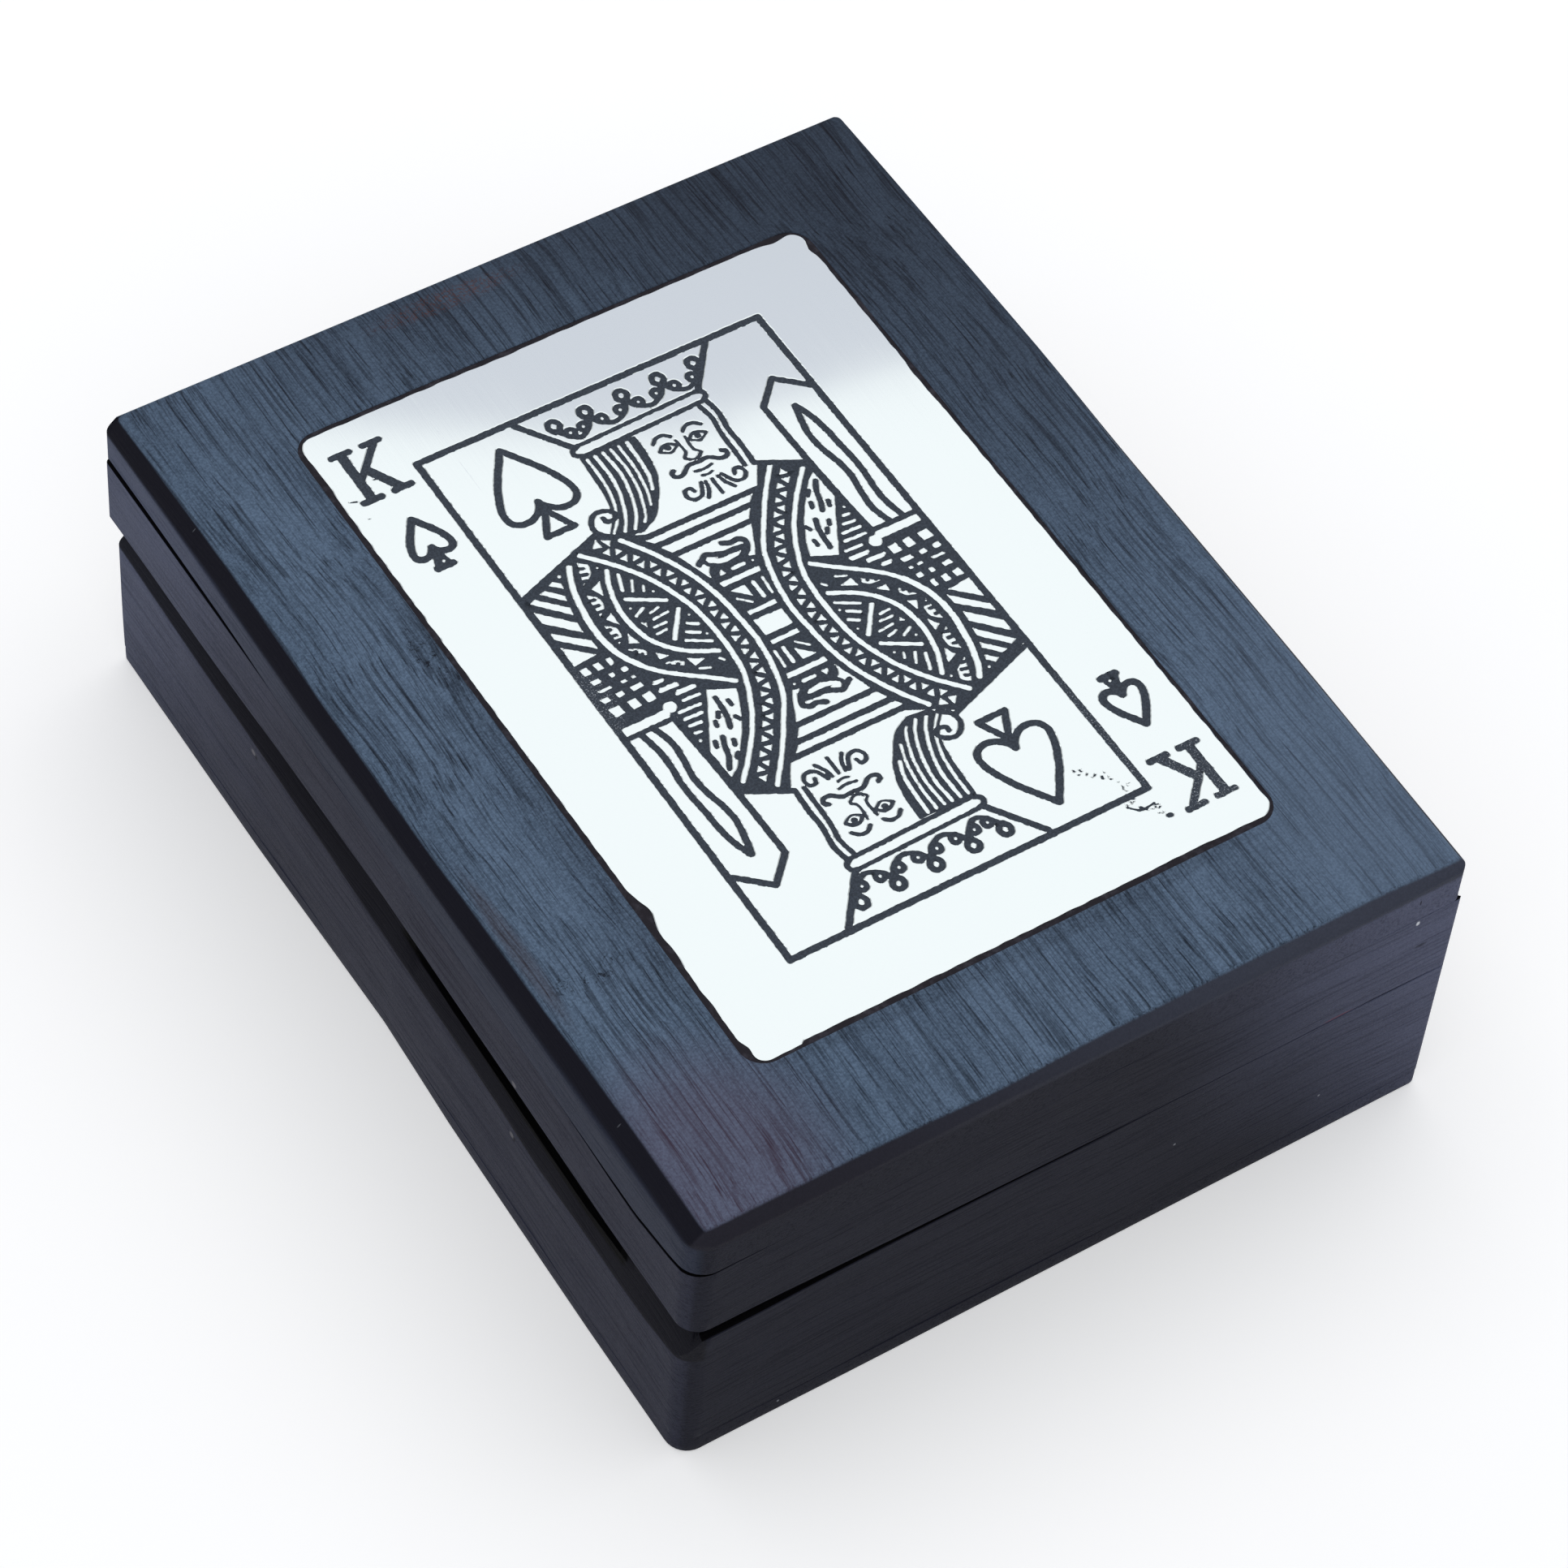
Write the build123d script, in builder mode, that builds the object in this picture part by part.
from build123d import *
from math import atan2, degrees, dist
import os

# A small hinged wooden box for one deck of playing cards, closed.
# Millimetres. The origin is the centre of the underside, +Z is up, +Y runs along
# the cards and -X is the side that opens. The hinges are on the +X side.

# Box
box_width = 88.9
box_length = 114.3
box_height = 38.1
corner_radius = 1.6
wall = 9.5
bottom_thickness = 2.4
top_thickness = 6.0
base_height = 20.8
front_bevel = 1.4
hinge_side_bevel = 0.7
back_bevel = 0.3
opening_side_bevel = 1.9
finger_bevel_width = 2.0
finger_bevel_height = 3.0

# The rims are a running gap apart at the hinges, and more where the box opens
hinge_side_gap = 0.3
opening_side_gap = 1.2

# Inlaid card plate
plate_width = 60.5
plate_length = 88.0
plate_thickness = 1.6
plate_radius = 2.0
plate_sunk = 0.1
plate_shift_x = 1.1
plate_shift_y = 1.2
bedding_beside = 0.6
bedding_under = 0.3

# Engraving on the plate
engraving_depth = 0.3
border_width = 41.0
border_length = 70.5
line_width = 0.8
index_width = 6.0
index_height = 7.5
index_stroke = 1.3
index_from_side = 2.3
index_from_end = 3.6
small_pip_height = 7.0
small_pip_gap = 3.6
large_pip_height = 12.0
large_pip_inset = 3.4
crown_width = 14.0
crown_band = 1.8
crown_point_height = 4.2
crown_point_radius = 1.2
crown_points = 5
crown_drop = 8.6
sword_blade_length = 17.0
sword_blade_width = 2.2
sword_grip_length = 4.5
sword_guard_width = 6.0
sword_inset = 3.2
sash_width = 2.4
sash_slant = 20.0

# Hinges
hinge_length = 25.0
hinge_from_end = 27.0
leaf_width = 7.5
leaf_thickness = 0.8
knuckle_radius = 1.6
pin_radius = 0.8
axis_offset = 0.2
pin_clearance = 0.05
knuckle_clearance = 0.3
mortise_clearance = 0.1
tight_fit = 0.02

# Hinge screws
screw_length = 6.0
screw_radius = 0.9
screw_head_radius = 1.6
screw_point = 1.4
screw_from_back = 4.6
screw_spacing = 16.0
slot_width = 0.5
slot_depth = 0.35

# Brads through the mitres
brad_length = 12.0
brad_radius = 0.6
brad_head_radius = 0.9
brad_head_height = 0.5
brad_point = 1.0
brad_from_side = 4.0
brad_sunk = 0.2
brad_shares = (0.3, 0.75)

# Places worked out from the sizes
well_width = box_width - 2 * wall
well_length = box_length - 2 * wall
lid_hinge_rim = base_height + hinge_side_gap
lid_opening_rim = base_height + opening_side_gap
lid_frame_top = box_height - top_thickness
plate_top = box_height - plate_sunk
pocket_floor = plate_top - plate_thickness - bedding_under
axis_x = box_width / 2 + axis_offset
axis_z = base_height + hinge_side_gap / 2
hinge_places = (hinge_from_end - box_length / 2, box_length / 2 - hinge_from_end)
knuckle_length = (hinge_length - 2 * knuckle_clearance) / 3
base_leaf_floor = base_height - leaf_thickness
lid_leaf_floor = lid_hinge_rim + leaf_thickness

# The two corners that each side of a mitred frame runs between
side_corners = {
    "front": ((-1, -1), (1, -1)),
    "hinge": ((1, -1), (1, 1)),
    "back": ((1, 1), (-1, 1)),
    "opening": ((-1, 1), (-1, -1)),
}

# How much is planed off the lid's top edge along each side
top_bevels = {
    "front": front_bevel,
    "hinge": hinge_side_bevel,
    "back": back_bevel,
    "opening": opening_side_bevel,
}


def frame_side(side, low, high):
    """One side of a frame with mitred ends and rounded outer corners, between two heights."""
    ends = side_corners[side]
    outer = [(x * box_width / 2, y * box_length / 2) for x, y in ends]
    inner = [(x * well_width / 2, y * well_length / 2) for x, y in reversed(ends)]
    with BuildPart() as piece:
        with BuildSketch(Plane.XY.offset(low)):
            RectangleRounded(box_width, box_length, corner_radius)
        extrude(amount=high - low)
        with BuildSketch(Plane.XY.offset(low)):
            with BuildLine():
                Polyline(*outer, *inner, close=True)
            make_face()
        extrude(amount=high - low, mode=Mode.INTERSECT)
    return piece.part


def top_edge(side, bevel):
    """A strip along the lid's top edge on one side, as deep as it is wide, to plane away."""
    start, end = [(x * box_width / 2, y * box_length / 2) for x, y in side_corners[side]]
    along = ((end[0] - start[0]) / dist(start, end), (end[1] - start[1]) / dist(start, end), 0)
    with BuildPart() as strip:
        with BuildSketch(Plane((*start, box_height), x_dir=(-along[1], along[0], 0), z_dir=along)):
            with BuildLine():
                Polyline((0, 0), (bevel, 0), (0, -bevel), close=True)
            make_face()
        extrude(amount=dist(start, end))
    return strip.part


def planed_strip(*profile):
    """A strip along the whole box with the given profile in X and Z, to plane away."""
    with BuildPart() as strip:
        with BuildSketch(Plane.XZ):
            with BuildLine():
                Polyline(*profile, close=True)
            make_face()
        extrude(amount=box_length / 2, both=True)
    return strip.part


def round_bar(radius, start, end):
    """A round bar on the hinge axis between two places along it."""
    with BuildPart() as bar:
        with BuildSketch(Plane((axis_x, start, axis_z), x_dir=(1, 0, 0), z_dir=(0, 1, 0))):
            Circle(radius)
        extrude(amount=end - start)
    return bar.part


def leaf_plate(y, floor, face, room):
    """A hinge leaf's flat plate between two heights, or its seat in the wood where room is given."""
    width = leaf_width + axis_offset + room
    with BuildPart() as plate:
        with BuildSketch(Plane.XY.offset(min(floor, face))):
            with Locations((axis_x - width / 2, y)):
                Rectangle(width, hinge_length + 2 * room)
        extrude(amount=abs(face - floor))
    return plate.part


def knuckle_spans(y):
    """Where the three knuckles of the hinge at y start and end."""
    pitch = knuckle_length + knuckle_clearance
    starts = [y - hinge_length / 2 + n * pitch for n in range(3)]
    return [(start, start + knuckle_length) for start in starts]


def screw_form(y, face, facing, room=0.0):
    """A countersunk screw turned about Z, its head at the height face, looking up or down by facing.

    With room it is the hole that the screw goes into."""
    head = screw_head_radius + room
    shank = screw_radius + room
    neck = face - facing * (screw_head_radius - screw_radius)
    x = box_width / 2 - screw_from_back
    with BuildPart() as form:
        with BuildSketch(Plane((x, y, 0), x_dir=(1, 0, 0), z_dir=(0, -1, 0))):
            with BuildLine():
                Polyline(
                    (0, face),
                    (head, face),
                    (shank, neck),
                    (shank, face - facing * (screw_length - screw_point)),
                    (0, face - facing * (screw_length + room)),
                    close=True,
                )
            make_face()
        revolve(axis=Axis((x, y, 0), (0, 0, 1)))
    return form.part


def screw_rows():
    """The places of the screws along Y, two to a leaf."""
    return [y + end * screw_spacing / 2 for y in hinge_places for end in (-1, 1)]


def screws(face, facing):
    """The four screws of the leaves on one half of the box, each with its slot."""
    x = box_width / 2 - screw_from_back
    with BuildPart() as group:
        for y in screw_rows():
            add(screw_form(y, face, facing))
        with BuildSketch(Plane.XY.offset(face - facing * slot_depth)):
            for y in screw_rows():
                with Locations((x, y)):
                    Rectangle(2 * screw_head_radius, slot_width, rotation=45)
        extrude(amount=facing * slot_depth, mode=Mode.SUBTRACT)
    return group.part


def brad_form(x, end, z, room=0.0):
    """A brad turned about Y, punched in below the front or back face, or with room its hole."""
    face = end * (box_length / 2 - brad_sunk)
    mouth = end * box_length / 2 if room else face
    head = brad_head_radius + room
    shank = brad_radius + room
    with BuildPart() as form:
        with BuildSketch(Plane((x, 0, z), x_dir=(1, 0, 0), z_dir=(0, 0, 1))):
            with BuildLine():
                Polyline(
                    (0, mouth),
                    (head, mouth),
                    (head, face - end * brad_head_height),
                    (shank, face - end * brad_head_height),
                    (shank, face - end * (brad_length - brad_point)),
                    (0, face - end * (brad_length + room)),
                    close=True,
                )
            make_face()
        revolve(axis=Axis((x, 0, z), (0, 1, 0)))
    return form.part


def brads(low, high, room=0.0):
    """The brads at the four corners of the frame between two heights, or with room their holes."""
    across = box_width / 2 - brad_from_side
    with BuildPart() as group:
        for z in [low + share * (high - low) for share in brad_shares]:
            for x in (-across, across):
                for end in (-1, 1):
                    add(brad_form(x, end, z, room))
    return group.part


def hinge_leaf(y, floor, face, facing, own, other, bore):
    """A hinge leaf: its plate and knuckles, hollows for the other leaf's, the bore and the screw holes."""
    with BuildPart() as leaf:
        add(leaf_plate(y, floor, face, 0))
        for start, end in own:
            add(round_bar(knuckle_radius, start, end))
        for start, end in other:
            hollow = round_bar(
                knuckle_radius + knuckle_clearance,
                start - knuckle_clearance,
                end + knuckle_clearance,
            )
            add(hollow, mode=Mode.SUBTRACT)
        bar = round_bar(bore, y - hinge_length, y + hinge_length)
        add(bar, mode=Mode.SUBTRACT)
        for end in (-1, 1):
            hole = screw_form(y + end * screw_spacing / 2, face, facing, tight_fit)
            add(hole, mode=Mode.SUBTRACT)
    return leaf.part


def hinge_seats(floor, face, facing):
    """What is cut out of the hinge side for both hinges: leaf seats, knuckle hollows and screw holes."""
    with BuildPart() as cut:
        for y in hinge_places:
            add(leaf_plate(y, floor, face, mortise_clearance))
            reach = hinge_length / 2 + knuckle_clearance
            add(round_bar(knuckle_radius + knuckle_clearance, y - reach, y + reach))
        for y in screw_rows():
            add(screw_form(y, face, facing, tight_fit))
    return cut.part


def on_plate(height):
    """The plane at a height under the middle of the plate, which lies a little off the box's middle."""
    return Plane((plate_shift_x, plate_shift_y, height))


def stroke(start, end, width):
    """A straight stroke between two points."""
    middle = ((start[0] + end[0]) / 2, (start[1] + end[1]) / 2)
    angle = degrees(atan2(end[1] - start[1], end[0] - start[0]))
    with Locations(middle):
        Rectangle(dist(start, end), width, rotation=angle)


def spade(x, y, height):
    """A spade pip: a point over two round lobes, on a flared stem."""
    lobe_radius = 0.21 * height
    lobe_spread = 0.19 * height
    lobe_drop = 0.1 * height
    shoulder = 0.36 * height
    shoulder_rise = 0.03 * height
    foot = 0.15 * height
    with BuildSketch() as pip:
        with Locations((x - lobe_spread, y - lobe_drop), (x + lobe_spread, y - lobe_drop)):
            Circle(lobe_radius)
        with BuildLine():
            Polyline(
                (x, y + height / 2),
                (x + shoulder, y + shoulder_rise),
                (x, y - 2 * lobe_drop),
                (x - shoulder, y + shoulder_rise),
                close=True,
            )
        make_face()
        with BuildLine():
            Polyline((x, y), (x + foot, y - height / 2), (x - foot, y - height / 2), close=True)
        make_face()
    return pip.sketch


pieces = {}

# Base: a bottom board under four mitred walls, held by brads at the corners
with BuildPart() as base_bottom_board:
    with BuildSketch():
        RectangleRounded(box_width, box_length, corner_radius)
    extrude(amount=bottom_thickness)
pieces["base_bottom_board"] = base_bottom_board

base_cuts = (
    planed_strip(
        (-box_width / 2, base_height - finger_bevel_height),
        (-box_width / 2 + finger_bevel_width, base_height),
        (-box_width / 2, base_height),
    ),
    brads(bottom_thickness, base_height, tight_fit),
    hinge_seats(base_leaf_floor, base_height, 1),
)

for side in side_corners:
    with BuildPart() as base_wall:
        add(frame_side(side, bottom_thickness, base_height))
        for cut in base_cuts:
            add(cut, mode=Mode.SUBTRACT)
    pieces[f"base_{side}_wall"] = base_wall

with BuildPart() as base_corner_brads:
    add(brads(bottom_thickness, base_height))
pieces["base_corner_brads"] = base_corner_brads

# Lid: a top board on four mitred sides, with a pocket for the card plate
lid_cuts = (
    planed_strip(
        (box_width / 2, lid_hinge_rim),
        (-box_width / 2, lid_opening_rim),
        (-box_width / 2, lid_hinge_rim),
    ),
    brads(lid_hinge_rim, lid_frame_top, tight_fit),
    hinge_seats(lid_leaf_floor, lid_hinge_rim, -1),
)

for side in side_corners:
    with BuildPart() as lid_side:
        add(frame_side(side, lid_hinge_rim, lid_frame_top))
        for cut in lid_cuts:
            add(cut, mode=Mode.SUBTRACT)
    pieces[f"lid_{side}_side"] = lid_side

with BuildPart() as lid_corner_brads:
    add(brads(lid_hinge_rim, lid_frame_top))
pieces["lid_corner_brads"] = lid_corner_brads

with BuildSketch() as pocket:
    RectangleRounded(
        plate_width + 2 * bedding_beside,
        plate_length + 2 * bedding_beside,
        plate_radius + bedding_beside,
    )

with BuildPart() as lid_top_board:
    with BuildSketch(Plane.XY.offset(lid_frame_top)):
        RectangleRounded(box_width, box_length, corner_radius)
    extrude(amount=top_thickness)
    for side, bevel in top_bevels.items():
        add(top_edge(side, bevel), mode=Mode.SUBTRACT)
    with BuildSketch(on_plate(pocket_floor)):
        add(pocket.sketch)
    extrude(amount=box_height - pocket_floor, mode=Mode.SUBTRACT)
pieces["lid_top_board"] = lid_top_board

# Engraving: drawn for the upper half of the card and turned round for the lower half
index_x = -plate_width / 2 + index_from_side + index_width / 2
index_y = plate_length / 2 - index_from_end - index_height / 2
small_pip_y = index_y - (index_height + small_pip_height) / 2 - small_pip_gap
large_pip_x = -border_width / 2 + large_pip_inset + 0.4 * large_pip_height
large_pip_y = border_length / 2 - large_pip_inset - large_pip_height / 2
crown_y = border_length / 2 - crown_drop
sword_x = border_width / 2 - sword_inset
sword_tip = border_length / 2 - sword_inset
sword_guard = sword_tip - sword_blade_length

with BuildSketch() as rank_index:
    left = index_x - index_width / 2 + index_stroke
    right = index_x + index_width / 2 - index_stroke
    top = index_y + index_height / 2
    bottom = index_y - index_height / 2
    stroke((left, top), (left, bottom), index_stroke)
    stroke((left, index_y - index_stroke / 2), (right, top), index_stroke)
    stroke((left + index_stroke, index_y), (right, bottom), index_stroke)
    for x in (left, right):
        for y in (top, bottom):
            stroke((x - index_stroke, y), (x + index_stroke, y), index_stroke / 2)

with BuildSketch() as crown:
    stroke((-crown_width / 2, crown_y), (crown_width / 2, crown_y), crown_band)
    span = crown_width - 2 * crown_point_radius
    for n in range(crown_points):
        x = (n / (crown_points - 1) - 0.5) * span
        stroke((x, crown_y), (x, crown_y + crown_point_height), line_width)
        with Locations((x, crown_y + crown_point_height)):
            Circle(crown_point_radius)

with BuildSketch() as sword:
    with BuildLine():
        Polyline(
            (sword_x, sword_tip),
            (sword_x + sword_blade_width / 2, sword_guard),
            (sword_x - sword_blade_width / 2, sword_guard),
            close=True,
        )
    make_face()
    half = sword_guard_width / 2
    stroke((sword_x - half, sword_guard), (sword_x + half, sword_guard), line_width)
    stroke((sword_x, sword_guard), (sword_x, sword_guard - sword_grip_length), line_width)

with BuildSketch() as sash:
    Rectangle(2 * border_width, sash_width, rotation=sash_slant)
    Rectangle(border_width, border_length, mode=Mode.INTERSECT)

with BuildSketch() as upper_half:
    add(spade(index_x, small_pip_y, small_pip_height))
    add(spade(large_pip_x, large_pip_y, large_pip_height))
    for drawing in (rank_index, crown, sword):
        add(drawing.sketch)

with BuildSketch() as engraving:
    Rectangle(border_width + line_width, border_length + line_width)
    Rectangle(border_width - line_width, border_length - line_width, mode=Mode.SUBTRACT)
    add(sash.sketch)
    with PolarLocations(0, 2):
        add(upper_half.sketch)

# Card plate, the black filling of its engraving and what it is bedded in
with BuildPart() as card_plate:
    with BuildSketch(on_plate(plate_top)):
        RectangleRounded(plate_width, plate_length, plate_radius)
    extrude(amount=-plate_thickness)
    with BuildSketch(on_plate(plate_top)):
        add(engraving.sketch)
    extrude(amount=-engraving_depth, mode=Mode.SUBTRACT)
pieces["card_plate"] = card_plate

with BuildPart() as engraving_filling:
    with BuildSketch(on_plate(plate_top)):
        add(engraving.sketch)
    extrude(amount=-engraving_depth)
pieces["engraving_filling"] = engraving_filling

with BuildPart() as plate_bedding:
    with BuildSketch(on_plate(pocket_floor)):
        add(pocket.sketch)
    extrude(amount=plate_top - pocket_floor)
    with BuildSketch(on_plate(plate_top)):
        RectangleRounded(plate_width, plate_length, plate_radius)
    extrude(amount=-plate_thickness, mode=Mode.SUBTRACT)
pieces["plate_bedding"] = plate_bedding

# Hinges: the base leaf has the outer two knuckles and holds the pin, the lid leaf has the middle one
for place, y in zip(("front", "back"), hinge_places):
    first, middle, last = knuckle_spans(y)
    with BuildPart() as base_leaf:
        add(
            hinge_leaf(
                y,
                base_leaf_floor,
                base_height,
                1,
                own=(first, last),
                other=(middle,),
                bore=pin_radius + tight_fit,
            )
        )
    pieces[f"{place}_hinge_base_leaf"] = base_leaf
    with BuildPart() as lid_leaf:
        add(
            hinge_leaf(
                y,
                lid_leaf_floor,
                lid_hinge_rim,
                -1,
                own=(middle,),
                other=(first, last),
                bore=pin_radius + pin_clearance,
            )
        )
    pieces[f"{place}_hinge_lid_leaf"] = lid_leaf
    with BuildPart() as hinge_pin:
        add(round_bar(pin_radius, y - hinge_length / 2, y + hinge_length / 2))
    pieces[f"{place}_hinge_pin"] = hinge_pin

with BuildPart() as base_hinge_screws:
    add(screws(base_height, 1))
pieces["base_hinge_screws"] = base_hinge_screws

with BuildPart() as lid_hinge_screws:
    add(screws(lid_hinge_rim, -1))
pieces["lid_hinge_screws"] = lid_hinge_screws

os.makedirs("parts", exist_ok=True)
for name, piece in pieces.items():
    piece.part.label = name
    export_step(piece.part, f"parts/{name}.step")
